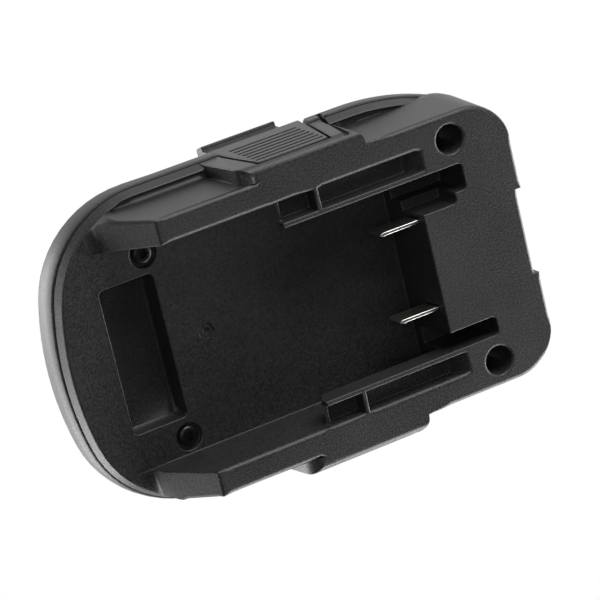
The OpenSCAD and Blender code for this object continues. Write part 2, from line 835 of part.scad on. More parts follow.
// Coil spring between a latch and its chamber, on the left side
module latch_spring() {
    y0 = chamber_y + fit_gap + spring_wire / 2;
    y1 = flange_back_y - fit_gap - spring_wire / 2;
    r = (spring_d - spring_wire) / 2;
    steps = 12 * spring_turns;
    color("silver") tube_along([
        for (k = [0:steps]) let (a = 360 * spring_turns * k / steps)
            [latch_x + r * cos(a), y0 + (y1 - y0) * k / steps, spring_z + r * sin(a)]
    ], spring_wire, 6);
}

// Blade terminal on the left side, with its solder tag bent inwards
module blade() {
    half = blade_t / 2;
    bend = holder_front_x + 0.6;
    color("gainsboro") difference() {
        translate([0, 0, blade_z]) linear_extrude(blade_h) polygon([
            [blade_tip_x + 1.2, blade_y - half], [bend, blade_y - half], [bend + 2.4, tag_y - half],
            [tag_x, tag_y - half], [tag_x, tag_y + half], [bend + 2.8, tag_y + half],
            [bend + 0.4, blade_y + half], [blade_tip_x + 1.2, blade_y + half],
            [blade_tip_x, blade_y + half / 3], [blade_tip_x, blade_y - half / 3],
        ]);
        for (z = [[blade_z - 1, tag_z - tag_h / 2], [tag_z + tag_h / 2, blade_z + blade_h + 1]])
            span([bend + 2.8, -far, z[0]], [far, far, z[1]]);
    }
}

// Moulded block that keeps both blades apart and in line
module blade_holder() {
    color("#4a4a48") difference() {
        span(
            [holder_x - holder_l / 2, -bay_y + fit_gap, bay_floor + fit_gap],
            [holder_x + holder_l / 2, bay_y - fit_gap, holder_top]
        );
        both_sides() {
            span(
                [-far, blade_y - blade_t / 2 - fit_gap, 0],
                [far, far, blade_z + blade_h + fit_gap]
            );
            post(holder_x, holder_post_y, 0, holder_post_top + fit_gap, small_post_d + 2 * fit_gap);
            post(holder_x, holder_post_y, 0, far, small_bore);
        }
    }
}

// Screw with its shank pointing up from z = 0 and its head below
module screw(d, head_d, head_h, length, drive) {
    difference() {
        union() {
            translate([0, 0, -head_h]) cylinder(d = head_d, h = head_h);
            cylinder(d = d, h = length - d / 2);
            translate([0, 0, length - d / 2]) cylinder(d1 = d, d2 = d / 3, h = d / 2);
        }
        translate([0, 0, -head_h - eps]) cylinder(d = drive, h = head_h * 0.6, $fn = 6);
    }
}

module blade_holder_screws() {
    color("silver") both_sides() translate([holder_x, holder_post_y, holder_top]) mirror([0, 0, 1])
        screw(small_screw_d, small_head_d, small_head_h, holder_top - bay_floor - 1.2, small_drive);
}

// Spring strip behind a contact slot, on the left side
module stem_contact() {
    back = contact_y;
    front = contact_y + contact_t;
    bow = 1;
    low = carrier_z + carrier_t + 1.4;
    mid = (low + upstand_top) / 2;
    color("gainsboro") difference() {
        along(latch_x - contact_w / 2, latch_x + contact_w / 2) polygon([
            [back, contact_tag_z], [front, contact_tag_z], [front, low], [front + bow, mid - 1.4],
            [front + bow, mid + 1.4], [front, upstand_top - 0.6], [front, contact_top],
            [carrier_y - upstand_t, contact_top], [carrier_y - upstand_t, contact_top - contact_t],
            [back, contact_top - contact_t], [back, upstand_top - 0.8],
            [back + bow, mid + 1.2], [back + bow, mid - 1.2], [back, low + 0.2],
        ]);
        for (side = [[-far, latch_x - tag_h / 2], [latch_x + tag_h / 2, far]])
            span([side[0], 0, 0], [side[1], far, carrier_z - 1.5]);
    }
}

// Block in the top of the stem that backs both contacts
module contact_carrier() {
    color("#4a4a48") difference() {
        union() {
            intersection() {
                translate([0, 0, carrier_z]) linear_extrude(carrier_t)
                    polygon(stem_outline(stem_hollow + fit_gap));
                span([-far, -carrier_y, 0], [far, carrier_y, far]);
            }
            both_sides() span(
                [latch_x - contact_w / 2, carrier_y - upstand_t, carrier_z],
                [latch_x + contact_w / 2, carrier_y, upstand_top]
            );
        }
        for (side = [-1, 1])
            post(latch_x + side * carrier_post_x, 0, 0, far, small_bore);
    }
}

module carrier_screws() {
    color("silver") for (side = [-1, 1])
        translate([latch_x + side * carrier_post_x, 0, carrier_z])
            screw(small_screw_d, small_head_d, small_head_h, carrier_t + 8, small_drive);
}

module lead(shade) {
    color(shade) tube_along(curve(lead_route, 3), lead_d, 8);
}

// Shrink sleeves over the two soldered ends of a lead, on the left side
module lead_sleeves() {
    color("#222222") difference() {
        union() {
            translate([tag_x - sleeve_lap, tag_y, tag_z]) rotate([0, 90, 0])
                cylinder(d = sleeve_d, h = sleeve_l);
            translate([latch_x, lead_y, contact_tag_z + sleeve_lap - sleeve_l])
                cylinder(d = sleeve_d, h = sleeve_l);
        }
        translate([tag_x - sleeve_l, tag_y, tag_z]) rotate([0, 90, 0])
            cylinder(d = sleeve_bore, h = 2 * sleeve_l);
        post(latch_x, lead_y, contact_tag_z - sleeve_l, contact_tag_z + sleeve_l, sleeve_bore);
    }
}

module rear_case_screws() {
    color("black") both_sides() translate([rear_screw_x, rear_screw_gap / 2, z_floor + recess_depth])
        screw(case_screw_d, case_head_d, recess_depth, z_ceiling - z_floor - 1.2, case_drive);
}

module front_case_screws() {
    color("black") both_sides() translate([front_screw_x, front_screw_gap / 2, counterbore_depth])
        screw(case_screw_d, case_head_d + 0.6, 2, z_ceiling - counterbore_depth, case_drive);
}

battery_side_shell();
tool_side_shell();
latch();  // left_latch
mirror([0, 1, 0]) latch();  // right_latch
latch_spring();  // left_latch_spring
mirror([0, 1, 0]) latch_spring();  // right_latch_spring
blade();  // positive_blade
mirror([0, 1, 0]) blade();  // negative_blade
blade_holder();
blade_holder_screws();
stem_contact();  // positive_stem_contact
mirror([0, 1, 0]) stem_contact();  // negative_stem_contact
contact_carrier();
carrier_screws();
lead("firebrick");  // positive_lead
mirror([0, 1, 0]) lead("#1c1c1c");  // negative_lead
lead_sleeves();  // positive_lead_sleeves
mirror([0, 1, 0]) lead_sleeves();  // negative_lead_sleeves
rear_case_screws();
front_case_screws();
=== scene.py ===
# %% [markdown]
# # A battery adapter for power tools
#
# The adapter is two dark plastic shells. A battery slides into the dock below, and the stem above
# goes into the tool's handle. This lesson dresses the exact CAD solids: it rounds their moulded
# edges, gives every piece its finish, and lights the result like a product photograph.

# %% Load the frame
import json
import math
import bmesh
import bpy
from mathutils import Matrix, Vector
from mathutils.bvhtree import BVHTree
from mathutils.geometry import intersect_point_line


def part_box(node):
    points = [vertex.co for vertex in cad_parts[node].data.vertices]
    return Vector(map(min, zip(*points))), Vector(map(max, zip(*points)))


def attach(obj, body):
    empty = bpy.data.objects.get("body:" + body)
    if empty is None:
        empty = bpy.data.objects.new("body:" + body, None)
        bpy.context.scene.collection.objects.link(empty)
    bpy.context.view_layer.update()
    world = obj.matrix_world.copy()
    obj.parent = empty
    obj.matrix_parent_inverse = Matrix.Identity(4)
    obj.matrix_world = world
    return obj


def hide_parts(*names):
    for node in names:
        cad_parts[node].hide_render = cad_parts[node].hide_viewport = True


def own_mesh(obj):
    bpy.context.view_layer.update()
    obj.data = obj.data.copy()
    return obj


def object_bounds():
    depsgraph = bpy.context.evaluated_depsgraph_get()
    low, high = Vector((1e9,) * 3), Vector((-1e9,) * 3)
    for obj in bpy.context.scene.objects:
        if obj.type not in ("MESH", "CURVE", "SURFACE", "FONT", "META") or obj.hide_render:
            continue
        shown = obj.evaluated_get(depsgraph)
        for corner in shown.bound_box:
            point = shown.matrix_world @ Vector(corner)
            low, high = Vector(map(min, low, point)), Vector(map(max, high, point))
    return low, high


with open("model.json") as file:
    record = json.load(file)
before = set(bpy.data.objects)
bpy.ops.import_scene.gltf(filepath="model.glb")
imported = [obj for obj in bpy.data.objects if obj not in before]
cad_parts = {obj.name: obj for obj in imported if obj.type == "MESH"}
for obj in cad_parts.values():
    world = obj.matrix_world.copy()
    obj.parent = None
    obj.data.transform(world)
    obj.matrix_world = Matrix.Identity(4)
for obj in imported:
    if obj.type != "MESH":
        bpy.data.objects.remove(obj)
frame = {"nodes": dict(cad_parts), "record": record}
nodes = frame["nodes"]
cad_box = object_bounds()
MM = 0.001
print("CAD box in mm:", [[round(v / MM, 2) for v in corner] for corner in cad_box])

# %% [markdown]
# ## The camera
#
# The photograph looks up into the dock from below and behind, with a long lens. A camera is placed
# by three directions, to the right of the picture, down it and into it, and these were solved from
# the straight edges of the dock. Setting the matrix directly is safer than angles here, because the
# camera looks upwards, where a tracking constraint can flip over.

# %% Camera
RIGHT = Vector((0.86671, 0.22366, -0.44589))
DOWN = Vector((-0.33197, 0.92580, -0.18090))
AHEAD = Vector((0.37233, 0.30480, 0.87662))
EYE = Vector((-333.52, -274.36, -776.51)) * MM
camera = bpy.data.objects.new("camera", bpy.data.cameras.new("camera"))
camera.data.sensor_width = 36
camera.data.lens = 222.0
camera.data.clip_end = 20
camera.matrix_world = Matrix.Translation(EYE) @ Matrix(
    (RIGHT, -DOWN, -AHEAD)).transposed().to_4x4()
bpy.context.scene.collection.objects.link(camera)
bpy.context.scene.camera = camera
print("camera at", [round(v, 3) for v in camera.location])

# %% [markdown]
# ## Writing nodes as sums
#
# A shader or a geometry tree is a list of small steps. Drawing them by hand takes one line per node
# and one per link. Wrapping a socket in a small class lets Python's own plus, minus and times add
# the Math nodes, and one method makes every other kind of node, so a finish reads like a formula.

# %% Wire: a socket that can be added and multiplied
class Wire:
    def __init__(self, tree, socket=None):
        self.tree = tree
        self.socket = socket

    def feed(self, socket, value):
        if isinstance(value, Wire):
            self.tree.links.new(value.socket, socket)
        else:
            socket.default_value = value

    def node(self, kind, out=0, settings=None, inputs=None):
        made = self.tree.nodes.new(kind)
        for key, value in (settings or {}).items():
            setattr(made, key, value)
        for key, value in (inputs or {}).items():
            self.feed(made.inputs[key], value)
        return Wire(self.tree, made.outputs[out]) if len(made.outputs) else made

    def maths(self, operation, first, second=0.0):
        return self.node("ShaderNodeMath", settings={"operation": operation}, inputs={0: first, 1: second})

    def __add__(self, other):
        return self.maths("ADD", self, other)

    def __radd__(self, other):
        return self.maths("ADD", other, self)

    def __sub__(self, other):
        return self.maths("SUBTRACT", self, other)

    def __rsub__(self, other):
        return self.maths("SUBTRACT", other, self)

    def __mul__(self, other):
        return self.maths("MULTIPLY", self, other)

    def __rmul__(self, other):
        return self.maths("MULTIPLY", other, self)


def new_finish(name):
    material = bpy.data.materials.new(name)
    material.use_nodes = True
    shader = material.node_tree.nodes["Principled BSDF"]
    return material, Wire(material.node_tree), shader


print("wires ready")

# %% [markdown]
# ## Moulded plastic
#
# The shells come from a steel mould whose walls were roughened by sparks, so the surface is a fine
# even grain of about half a millimetre that spreads the light. Small noise gives the grain: it bumps
# the surface a little and speckles its tone. A second, broad noise lets the gloss drift, as it does
# where the plastic cooled at different speeds. An image would repeat, and noise on object
# coordinates doesn't.

# %% Plastic finishes
def noise(wire, scale, detail=2.0, stretch=None):
    place = wire.node("ShaderNodeTexCoord", out="Object")
    if stretch:
        place = wire.node("ShaderNodeMapping", inputs={"Vector": place, "Scale": stretch})
    return wire.node("ShaderNodeTexNoise", inputs={"Vector": place, "Scale": scale, "Detail": detail})


DRIFT_SCALE = 45


def moulded_plastic(name, dark, light, gloss, grain_mm, grain_depth_mm, strength=0.5):
    material, wire, shader = new_finish(name)
    grain = noise(wire, 1 / (grain_mm * MM))
    drift = noise(wire, DRIFT_SCALE, 3)
    speckle = 0.5 + (drift - 0.5) * 0.4 + (grain - 0.5) * 1.8
    wire.feed(shader.inputs["Base Color"], wire.node(
        "ShaderNodeMix", out=2, settings={"data_type": "RGBA"},
        inputs={0: speckle, 6: (*dark, 1), 7: (*light, 1)}))
    wire.feed(shader.inputs["Roughness"], gloss + (drift - 0.5) * 0.12 + (grain - 0.5) * 0.3)
    shader.inputs["Specular IOR Level"].default_value = 0.6
    wire.feed(shader.inputs["Normal"], wire.node("ShaderNodeBump", inputs={
        "Strength": strength, "Distance": grain_depth_mm * MM, "Height": grain}))
    return material


finishes = {
    "case_plastic": moulded_plastic(
        "charcoal moulded plastic", (0.006, 0.006, 0.007), (0.060, 0.060, 0.061), 0.45, 0.45, 0.05, 0.7),
    "latch_plastic": moulded_plastic(
        "latch plastic", (0.006, 0.006, 0.007), (0.058, 0.058, 0.059), 0.43, 0.45, 0.05, 0.7),
    "insulator": moulded_plastic(
        "insulator plastic", (0.055, 0.055, 0.053), (0.085, 0.085, 0.082), 0.5, 0.4, 0.01),
    "red_lead": moulded_plastic(
        "red lead insulation", (0.42, 0.022, 0.018), (0.55, 0.035, 0.028), 0.4, 0.8, 0.01),
    "black_lead": moulded_plastic(
        "black lead insulation", (0.014, 0.014, 0.014), (0.022, 0.022, 0.022), 0.4, 0.8, 0.01),
    "shrink_sleeve": moulded_plastic(
        "shrink sleeve", (0.012, 0.012, 0.013), (0.02, 0.02, 0.021), 0.6, 0.6, 0.02),
}
print(len(finishes), "plastic finishes")

# %% [markdown]
# ## Plated and blackened metal
#
# The blades are stamped from strip and plated with nickel, so they mirror the room with faint lines
# along the strip. The case screws are blackened steel. Both are fully metallic, and noise that is
# stretched along one axis draws the lines without any picture.

# %% Metal finishes
CLOUD_SCALE = 180
SCRATCH_DEPTH = 0.006 * MM


def drawn_metal(name, dull, bright, gloss, streak, scratch_mm):
    material, wire, shader = new_finish(name)
    lines = noise(wire, 1 / (scratch_mm * MM), 3, streak)
    cloud = noise(wire, CLOUD_SCALE, 2)
    wire.feed(shader.inputs["Base Color"], wire.node(
        "ShaderNodeMix", out=2, settings={"data_type": "RGBA"},
        inputs={0: lines * 0.5 + cloud * 0.5, 6: (*dull, 1), 7: (*bright, 1)}))
    shader.inputs["Metallic"].default_value = 1.0
    wire.feed(shader.inputs["Roughness"], gloss + (lines - 0.5) * 0.16 + (cloud - 0.5) * 0.1)
    wire.feed(shader.inputs["Normal"], wire.node("ShaderNodeBump", inputs={
        "Strength": 0.2, "Distance": SCRATCH_DEPTH, "Height": lines}))
    return material


finishes |= {
    "nickel": drawn_metal(
        "bright nickel plate", (0.68, 0.66, 0.62), (0.86, 0.84, 0.80), 0.3, (0.04, 1, 1), 0.2),
    "spring_steel": drawn_metal(
        "drawn spring wire", (0.46, 0.46, 0.45), (0.62, 0.62, 0.6), 0.3, (1, 1, 1), 0.2),
    "zinc_screw": drawn_metal(
        "zinc plate", (0.52, 0.52, 0.5), (0.68, 0.68, 0.66), 0.32, (1, 1, 1), 0.4),
    "black_screw": drawn_metal(
        "black oxide", (0.035, 0.035, 0.036), (0.07, 0.07, 0.07), 0.36, (1, 1, 1), 0.4),
}
slot_of = {part["node"]: part["material_slot"] for part in frame["record"]["subparts"]}
for name, obj in nodes.items():
    obj.data.materials.clear()
    obj.data.materials.append(finishes[slot_of[name]])
print("finishes on", len(nodes), "nodes")

# %% [markdown]
# ## Rounded edges
#
# A mould can't make a sharp edge, and the bright lines along the rails are soft edges that catch the
# light. The CAD solids are sharp. A copy of each is merged and freed of its inner triangle edges, so
# that only real edges are left, and a Bevel modifier rounds them. A face with holes in it would
# fold over there, so the copy is first cut through the middle of its holes. One width would break on
# thin walls, so each edge gets its own: the wished radius, or less where the faces beside it are
# narrow, and neighbours on a curve stay alike. The result is compared with the sharp solid, and
# where it strays the widths are halved and the bevel is made again, a few times at most. What strays
# then is small and stays.

# %% Round the edges of a copy
SHARP = math.radians(24)
GOES_ON = math.radians(150)
FAINT = math.radians(6)
FLAT = math.radians(0.4)
SHADED_SHARP = math.radians(42)
ROOM = 0.42
WIDE_ROOM = 0.7
WIDE = 1.35 * MM
RUN_OUT = 1.5 * MM
LONG_FAINT = 10 * MM
WELD = 0.03 * MM
STEPS = 1.4
SPOT_REACH = 0.9 * MM
SPOT_AREA = 2e-8
ROUNDS = 6
SEGMENTS = 3


def clean_copy(name, cuts):
    mesh = bmesh.new()
    mesh.from_mesh(nodes[name].data)
    mesh.transform(nodes[name].matrix_world)
    bmesh.ops.remove_doubles(mesh, verts=mesh.verts, dist=WELD)
    for axis, place in cuts:
        facing = Vector((0, 0, 0))
        facing[axis] = 1
        made = bmesh.ops.bisect_plane(
            mesh, geom=mesh.verts[:] + mesh.edges[:] + mesh.faces[:], dist=0.02 * MM,
            plane_co=facing * place * MM, plane_no=facing)
        for item in made["geom_cut"]:
            if isinstance(item, bmesh.types.BMEdge):
                item.seam = True
    bmesh.ops.dissolve_limit(
        mesh, angle_limit=FLAT, verts=mesh.verts, edges=mesh.edges, delimit={"SEAM"})
    faint = [e for e in mesh.edges if len(e.link_faces) == 2 and e.calc_length() > LONG_FAINT
             and abs((e.verts[0].co - e.verts[1].co).normalized().x) > 0.95
             and e.calc_face_angle() < FAINT]
    bmesh.ops.dissolve_edges(mesh, edges=[e for e in faint if not e.seam])
    long_edges = [e for e in mesh.edges if e.calc_length() > 3 * RUN_OUT and len(e.link_faces) == 2
                  and e.calc_face_angle() > SHARP]
    for edge in long_edges:
        start, end = edge.verts
        added, _ = bmesh.utils.edge_split(edge, start, RUN_OUT / edge.calc_length())
        rest = edge if end in edge.verts else added
        bmesh.utils.edge_split(rest, end, RUN_OUT / rest.calc_length())
    return mesh


def room_beside(edge, wish):
    share_of_room = WIDE_ROOM if wish > WIDE else ROOM
    start, end = (v.co for v in edge.verts)
    way = (end - start).normalized()
    middle = (start + end) / 2
    for face in edge.link_faces:
        for other in face.edges:
            if other is edge:
                continue
            shared = [v for v in other.verts if v in edge.verts]
            if shared:
                arm = other.other_vert(shared[0]).co - shared[0].co
                own = edge.other_vert(shared[0]).co - shared[0].co
                bend = arm.angle(own)
                if bend < GOES_ON:
                    wish = min(wish, share_of_room * arm.length * math.sin(bend))
                continue
            p, q = (v.co for v in other.verts)
            _, share = intersect_point_line(middle, p, q)
            near = p.lerp(q, min(1, max(0, share)))
            gap = near - middle
            if abs(gap.dot(way)) < 0.6 * gap.length:
                wish = min(wish, share_of_room * gap.length)
    return wish


def even_out(mesh, widths):
    for _ in range(ROUNDS):
        for vert in mesh.verts:
            pair = [e for e in vert.link_edges if e in widths and e.calc_length() < 2 * RUN_OUT]
            if len(pair) == 2:
                least = min(widths[e] for e in pair)
                for edge in pair:
                    widths[edge] = min(widths[edge], STEPS * least)


def wild_spots(solid, surface, widest):
    spots = []
    solid.calc_loop_triangles()
    for triangle in solid.loop_triangles:
        _, normal, _, away = surface.find_nearest(triangle.center)
        turned_over = triangle.area > SPOT_AREA and triangle.normal.dot(normal) < -0.2
        if away > 0.5 * widest or turned_over:
            spots.append(triangle.center.copy())
    return spots


def rounded(name, body, wish, cuts=()):
    mesh = clean_copy(name, cuts)
    weight = mesh.edges.layers.float.new("bevel_weight_edge")
    surface = BVHTree.FromBMesh(mesh)
    widths = {}
    for edge in mesh.edges:
        if len(edge.link_faces) == 2:
            turn = edge.calc_face_angle_signed()
            if abs(turn) > SHARP:
                middle = (edge.verts[0].co + edge.verts[1].co) / 2 / MM
                widths[edge] = room_beside(edge, wish(middle, turn) * MM)
    widest = max(widths.values())
    data = bpy.data.meshes.new(name + "_rounded")
    piece = bpy.data.objects.new(name + "_rounded", data)
    bpy.context.scene.collection.objects.link(piece)
    bevel = piece.modifiers.new("round", "BEVEL")
    bevel.limit_method = "WEIGHT"
    bevel.width = widest
    bevel.segments = SEGMENTS
    bevel.use_clamp_overlap = False
    bevel.loop_slide = False
    for _ in range(ROUNDS):
        even_out(mesh, widths)
        for edge, width in widths.items():
            edge[weight] = width / widest
        mesh.to_mesh(data)
        data.shade_smooth()
        data.update()
        shown = piece.evaluated_get(bpy.context.evaluated_depsgraph_get())
        spots = wild_spots(shown.data, surface, widest)
        if not spots:
            break
        for edge in widths:
            a, b = (v.co for v in edge.verts)
            for spot in spots:
                _, share = intersect_point_line(spot, a, b)
                near = a.lerp(b, min(1, max(0, share)))
                if (near - spot).length < SPOT_REACH:
                    widths[edge] *= 0.5
                    break
    mesh.free()
    piece.data = bpy.data.meshes.new_from_object(piece.evaluated_get(bpy.context.evaluated_depsgraph_get()))
    piece.modifiers.clear()
    piece.data.set_sharp_from_angle(angle=SHADED_SHARP)
    even = piece.modifiers.new("even shading", "WEIGHTED_NORMAL")
    even.mode = "FACE_AREA"
    even.weight = 60
    even.keep_sharp = True
    return finished(piece, body, name)


def finished(piece, body, *names):
    shown = piece.evaluated_get(bpy.context.evaluated_depsgraph_get())
    solid = bpy.data.meshes.new_from_object(shown)
    piece.modifiers.clear()
    piece.data = solid
    slot = slot_of[names[0]]
    solid.materials.clear()
    solid.materials.append(finishes[slot])
    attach(piece, body)
    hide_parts(*names)
    print(piece.name, len(solid.polygons), "faces")
    return piece


# %% [markdown]
# ## The two shells
#
# On the lower shell the outer edges of rails and bosses are generous, the inner corners are tight,
# and the foot of each flank runs out into the ledge in a soft hollow. Edges that face the inside of
# the case stay sharp, because nobody sees them. The cuts go through the screw holes, the hollows of
# the lips, the gate mark and the slots of the blades. The upper shell is smooth already, so only the
# stem, its collar and the key need softer edges. All places here are in millimetres.

# %% Shells
FLANK_FOOT = 1.5
RAIL_EDGE = 1.3
OUTER_EDGE = 0.9
COUNTERBORE_EDGE = 0.8
DOCK_EDGE = 0.4
HOLLOW = 0.35
BUTTON_SIDE = 0.25
LEDGE_CORNER = 0.15
SHELL_INSIDE_Z = 17.45
FRONT_SCREW_X, FRONT_SCREW_Y = 44.6, 29.1
REAR_SCREW_X = -33.7
REAR_HOLLOW_X, FRONT_HOLLOW_X = 2.2, 28.0
BLADE_Y = 11.4


def inside(at):
    latch_chamber = 30.5 < abs(at.y) < 38.4 and -11 < at.x < 20 and at.z > 1.6
    holder_bay = at.x > 34 and abs(at.y) < 12.8 and at.z > 1
    screw_seat = at.x > 36 and abs(at.y) > 24 and 9 < at.z < 14
    return latch_chamber or holder_bay or screw_seat or at.z > SHELL_INSIDE_Z


def lower_shell_wish(at, turn):
    if inside(at):
        return 0.0
    beside_button = -14 < at.x < 23.5 and abs(at.y) > (37 if turn > 0 else 35)
    if beside_button:
        return 0.0 if turn < 0 and at.x > 20 else BUTTON_SIDE
    if turn < 0:
        if 14.5 < at.z < 17.5 and abs(at.y) > 35.5:
            return FLANK_FOOT if abs(at.y) < 37 else LEDGE_CORNER
        return HOLLOW
    on_rail_face = at.z < 0.1
    if on_rail_face and math.hypot(at.x - FRONT_SCREW_X, abs(at.y) - FRONT_SCREW_Y) < 4:
        return COUNTERBORE_EDGE
    if on_rail_face and 28.5 < abs(at.y) < 36:
        return RAIL_EDGE
    if at.x < -41 and abs(at.y) > 33:
        return 0.0
    return OUTER_EDGE if abs(at.y) > 28 or at.x > 50 else DOCK_EDGE


def upper_shell_wish(at, turn):
    if at.z < 21:
        return 0.0
    return 0.4 if turn > 0 else 0.25


lower_cuts = [(0, FRONT_SCREW_X), (0, REAR_SCREW_X), (0, REAR_HOLLOW_X), (0, FRONT_HOLLOW_X),
              (1, 0.0), (1, BLADE_Y), (1, -BLADE_Y)]
rounded("battery_side_shell", "case", lower_shell_wish, lower_cuts)
rounded("tool_side_shell", "case", upper_shell_wish)

# %% [markdown]
# ## Latches and blades
#
# The latch buttons are touched all day, so their edges and the crests between the grooves are soft.
# One cut through the middle of the button passes all its grooves.
# The blades are stamped, and their edges are broken so that they don't cut the battery's contacts.

# %% Latches and blades
BUTTON_X = 4.7
for side in ("left", "right"):
    rounded(side + "_latch", side + "_latch", lambda at, turn: 0.35 if turn > 0 else 0.15, [(0, BUTTON_X)])
for pole in ("positive", "negative"):
    rounded(pole + "_blade", "case", lambda at, turn: 0.33)

# %% [markdown]
# ## Case screws
#
# Each screw is a low round head with a six-lobed recess on a plain shank. One tree of geometry nodes
# makes a screw from named sizes and sets it on every seat, so all eight screws share one recipe. The
# head is a cylinder whose rim is drawn up, and a star with soft corners is cut into it. The shank
# is one closed cylinder whose last ring is drawn in to a tip.

# %% Geometry tree for a screw
def geometry_tree(name, sizes):
    tree = bpy.data.node_groups.new(name, "GeometryNodeTree")
    tree.interface.new_socket("Geometry", in_out="OUTPUT", socket_type="NodeSocketGeometry")
    tree.interface.new_socket("Geometry", in_out="INPUT", socket_type="NodeSocketGeometry")
    for size, kind in sizes.items():
        tree.interface.new_socket(size, in_out="INPUT", socket_type="NodeSocket" + kind)
    wire = Wire(tree)
    given = tree.nodes.new("NodeGroupInput")
    return tree, wire, {socket.name: Wire(tree, socket) for socket in given.outputs if socket.name}


def end_tree(wire, geometry, material):
    real = wire.node("GeometryNodeRealizeInstances", inputs={"Geometry": geometry})
    shown = wire.node("GeometryNodeSetMaterial", inputs={"Geometry": real, "Material": material})
    wire.feed(wire.tree.nodes.new("NodeGroupOutput").inputs[0], shown)


def grow(name, tree, points, values):
    data = bpy.data.meshes.new(name)
    data.from_pydata(points, [], [])
    piece = bpy.data.objects.new(name, data)
    bpy.context.scene.collection.objects.link(piece)
    modifier = piece.modifiers.new("grow", "NODES")
    modifier.node_group = tree
    for item in tree.interface.items_tree:
        if item.in_out == "INPUT" and item.name in values:
            modifier[item.identifier] = values[item.name]
    bpy.context.view_layer.update()
    return piece


def at_z(wire, geometry, height):
    shift = wire.node("ShaderNodeCombineXYZ", inputs={"Z": height})
    return wire.node("GeometryNodeTransform", inputs={"Geometry": geometry, "Translation": shift})


def screw_tree(material):
    tree, wire, size = geometry_tree("screws in " + material.name, {
        "Head Diameter": "Float", "Head Height": "Float", "Recess Width": "Float",
        "Shank Diameter": "Float", "Shank Length": "Float", "Turn": "Vector"})
    radius = size["Head Diameter"] * 0.5
    height = size["Head Height"]
    head = wire.node("GeometryNodeMeshCylinder", out="Mesh", inputs={
        "Vertices": 48, "Side Segments": 3, "Fill Segments": 8, "Radius": radius, "Depth": height})
    place = wire.node("GeometryNodeInputPosition")
    x, y, z = (wire.node("ShaderNodeSeparateXYZ", out=axis, inputs={0: place}) for axis in "XYZ")
    share = (x * x + y * y) * wire.maths("DIVIDE", 1.0, radius * radius)
    outer = wire.maths("LESS_THAN", z, height * -0.45)
    lift = outer * share * share * share * height * 0.3
    head = wire.node("GeometryNodeSetPosition", inputs={
        "Geometry": head, "Offset": wire.node("ShaderNodeCombineXYZ", inputs={"Z": lift})})
    star = wire.node("GeometryNodeCurveStar", inputs={
        "Points": 6, "Outer Radius": size["Recess Width"] * 0.5, "Inner Radius": size["Recess Width"] * 0.36})
    star = wire.node("GeometryNodeFilletCurve", settings={"mode": "POLY"}, inputs={
        "Curve": star, "Count": 3, "Radius": size["Recess Width"] * 0.06})
    lid = wire.node("GeometryNodeFillCurve", inputs={"Curve": star})
    depth = wire.node("ShaderNodeCombineXYZ", inputs={"Z": height * 0.75})
    plug = wire.node("GeometryNodeExtrudeMesh", inputs={"Mesh": lid, "Offset": depth, "Individual": False})
    back = wire.node("GeometryNodeFlipFaces", inputs={"Mesh": lid})
    join = wire.tree.nodes.new("GeometryNodeJoinGeometry")
    for part in (plug, back):
        wire.feed(join.inputs[0], part)
    plug = wire.node("GeometryNodeMergeByDistance", inputs={
        "Geometry": Wire(tree, join.outputs[0]), "Distance": 0.001 * MM})
    plug = at_z(wire, plug, height * -0.62)
    cut = wire.tree.nodes.new("GeometryNodeMeshBoolean")
    cut.operation = "DIFFERENCE"
    cut.solver = "EXACT"
    wire.feed(cut.inputs["Mesh 1"], head)
    wire.feed(cut.inputs["Mesh 2"], plug)
    head = at_z(wire, Wire(tree, cut.outputs[0]), height * -0.5)
    half = size["Shank Diameter"] * 0.5
    length = size["Shank Length"]
    shank = wire.node("GeometryNodeMeshCylinder", out="Mesh", inputs={
        "Vertices": 24, "Side Segments": 8, "Radius": half, "Depth": length})
    shank = wire.node("GeometryNodeSetPosition", inputs={
        "Geometry": shank, "Selection": wire.maths("GREATER_THAN", z, length * 0.49),
        "Offset": wire.node("ShaderNodeCombineXYZ", inputs={"X": x * -0.67, "Y": y * -0.67})})
    whole = wire.tree.nodes.new("GeometryNodeJoinGeometry")
    for part in (head, at_z(wire, shank, length * 0.5)):
        wire.feed(whole.inputs[0], part)
    screws = wire.node("GeometryNodeInstanceOnPoints", inputs={
        "Points": size["Geometry"], "Instance": Wire(tree, whole.outputs[0]),
        "Rotation": wire.node("FunctionNodeEulerToRotation", inputs={0: size["Turn"]})})
    end_tree(wire, screws, material)
    return tree


print("screw recipe ready")

# %% [markdown]
# ## Setting the screws
#
# The seats are read from the boxes of the CAD screws: two of a kind lie at the two ends of the box,
# and the head is at its lower end, or at the upper end for the pair that is driven from above.

# %% Screws
def set_screws(name, head_mm, head_height_mm, recess_mm, shank_mm, spread, turned=False):
    low, high = (Vector(corner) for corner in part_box(name))
    middle = (low + high) / 2
    seat = (high.z - head_height_mm * MM) if turned else (low.z + head_height_mm * MM)
    reach = (high - low)[spread] / 2 - head_mm / 2 * MM
    seats = []
    for sign in (-1, 1):
        point = Vector((middle.x, middle.y, seat))
        point[spread] += sign * reach
        seats.append(point)
    slot = slot_of[name]
    piece = grow(name + "_lobed", screw_tree(finishes[slot]), seats, {
        "Head Diameter": head_mm * MM, "Head Height": head_height_mm * MM, "Recess Width": recess_mm * MM,
        "Shank Diameter": shank_mm * MM, "Shank Length": high.z - low.z - head_height_mm * MM,
        "Turn": (math.pi, 0.0, 0.0) if turned else (0.0, 0.0, 0.0)})
    return finished(piece, "case", name)


set_screws("rear_case_screws", 5.0, 1.5, 2.7, 2.6, 1)
set_screws("front_case_screws", 5.6, 2.0, 2.9, 2.6, 1)
set_screws("blade_holder_screws", 3.6, 1.4, 1.8, 1.6, 1, turned=True)
set_screws("carrier_screws", 3.6, 1.4, 1.8, 1.6, 0)

